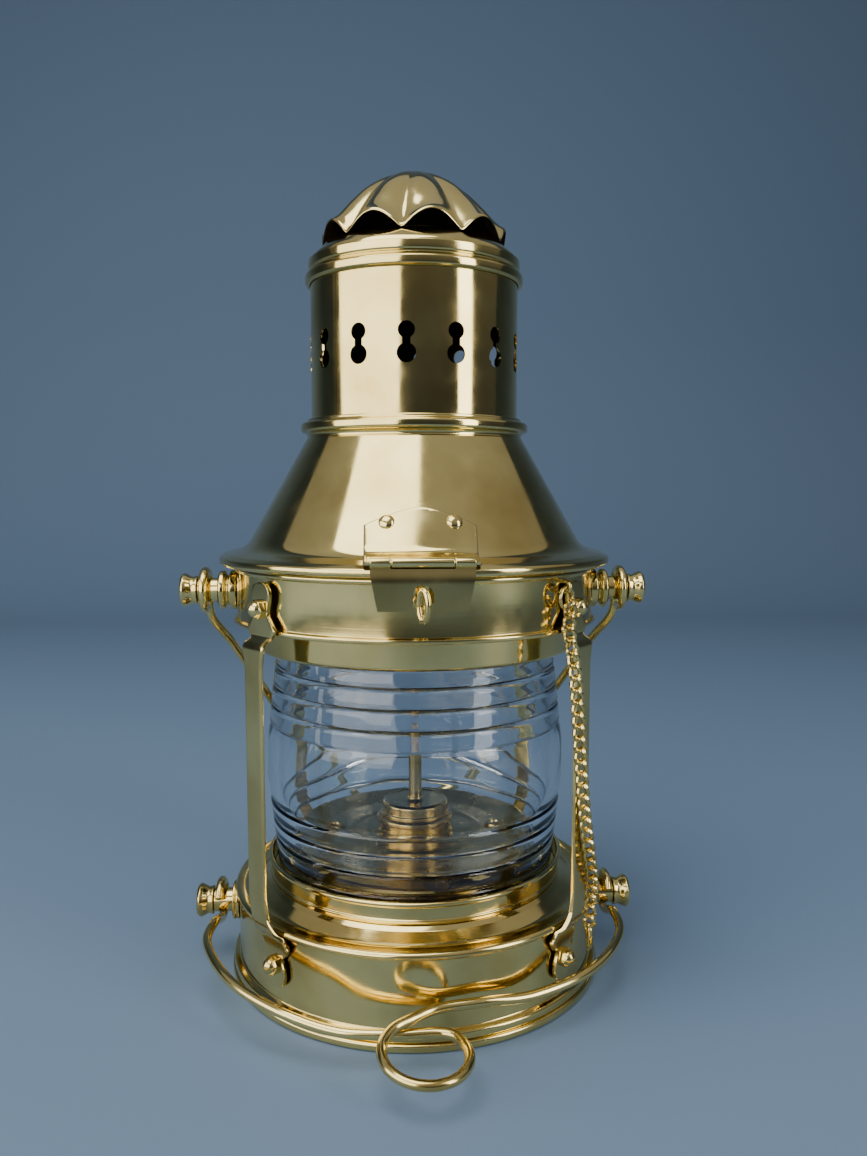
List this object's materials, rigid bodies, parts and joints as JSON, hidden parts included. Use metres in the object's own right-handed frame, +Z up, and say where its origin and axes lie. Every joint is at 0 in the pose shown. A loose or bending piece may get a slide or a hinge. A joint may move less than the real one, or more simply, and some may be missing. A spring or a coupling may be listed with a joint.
{
  "type": "ship lantern",
  "caption": "Brass anchor lantern: ribbed clear lens behind guard straps, hinged conical hood with a vented chimney and fluted crown, hasp, wire bails, oil burner.",
  "frame": {"origin": "centre of the foot's flat underside, on the table", "axes": "+Z up; -Y is the front, the hasp's side; +X runs along the bail pivots, to the right seen from the front"},
  "size_m": [0.2098, 0.2771, 0.3545],
  "materials": {
    "polished_brass": "mirror-polished pale yellow brass",
    "font_brass": "duller, darker brass of the oil font and burner",
    "clear_glass": "clear pressed glass",
    "cotton": "woven wick"
  },
  "bodies": {
    "lantern": {"base_plate": "polished_brass", "foot_ring": "polished_brass", "bottom_band": "polished_brass", "base_shelf": "polished_brass", "lower_glass_ring": "polished_brass", "lens": "clear_glass", "upper_glass_ring": "polished_brass", "top_band": "polished_brass", "guard_front_left": "polished_brass", "guard_front_right": "polished_brass", "guard_rear_left": "polished_brass", "guard_rear_right": "polished_brass", "nut_lower_front_left": "polished_brass", "nut_lower_front_right": "polished_brass", "nut_lower_rear_left": "polished_brass", "nut_lower_rear_right": "polished_brass", "nut_upper_front_left": "polished_brass", "nut_upper_front_right": "polished_brass", "nut_upper_rear_left": "polished_brass", "nut_upper_rear_right": "polished_brass", "bail_boss_lower_left": "polished_brass", "bail_boss_lower_right": "polished_brass", "bail_boss_upper_left": "polished_brass", "bail_boss_upper_right": "polished_brass", "bail_knob_lower_left": "polished_brass", "bail_knob_lower_right": "polished_brass", "bail_knob_upper_left": "polished_brass", "bail_knob_upper_right": "polished_brass", "hasp_staple": "polished_brass", "hinge_lower": "polished_brass", "hinge_pin": "polished_brass", "chain_eye": "polished_brass", "chain_ring": "polished_brass", "keeper_chain": "polished_brass", "locking_pin": "polished_brass", "font_body": "font_brass", "font_collar": "font_brass", "burner_cap": "font_brass", "wick_tube": "font_brass"},
    "hood": {"hood_cone": "polished_brass", "chimney_tube": "polished_brass", "cap_dish": "polished_brass", "crown_cap": "polished_brass", "hasp_plate": "polished_brass", "hasp_rivet_left": "polished_brass", "hasp_rivet_right": "polished_brass", "hasp_pin": "polished_brass", "hinge_upper": "polished_brass"},
    "hasp": {"hasp_leaf": "polished_brass"},
    "carrying_bail": {"upper_bail": "polished_brass"},
    "tie_down_bail": {"lower_bail": "polished_brass"},
    "wick_body": {"wick": "cotton"}
  },
  "joints": [
    {"name": "hood_open", "type": "hinge", "parent": "lantern", "child": "hood", "pos_m": [0, 0.0914, 0.1865], "axis": [-1, 0, 0], "range_deg": [0, 100]},
    {"name": "hasp_swing", "type": "hinge", "parent": "hood", "child": "hasp", "pos_m": [0, -0.0892, 0.1906], "axis": [-1, 0, 0], "range_deg": [0, 110]},
    {"name": "upper_bail_swing", "type": "hinge", "parent": "lantern", "child": "carrying_bail", "pos_m": [0, 0, 0.1715], "axis": [1, 0, 0], "range_deg": [0, 225]},
    {"name": "lower_bail_swing", "type": "hinge", "parent": "lantern", "child": "tie_down_bail", "pos_m": [0, 0, 0.0264], "axis": [-1, 0, 0], "range_deg": [0, 20]},
    {"name": "wick_raise", "type": "slide", "parent": "lantern", "child": "wick_body", "axis": [0, 0, 1], "range_m": [0, 0.005]}
  ]
}
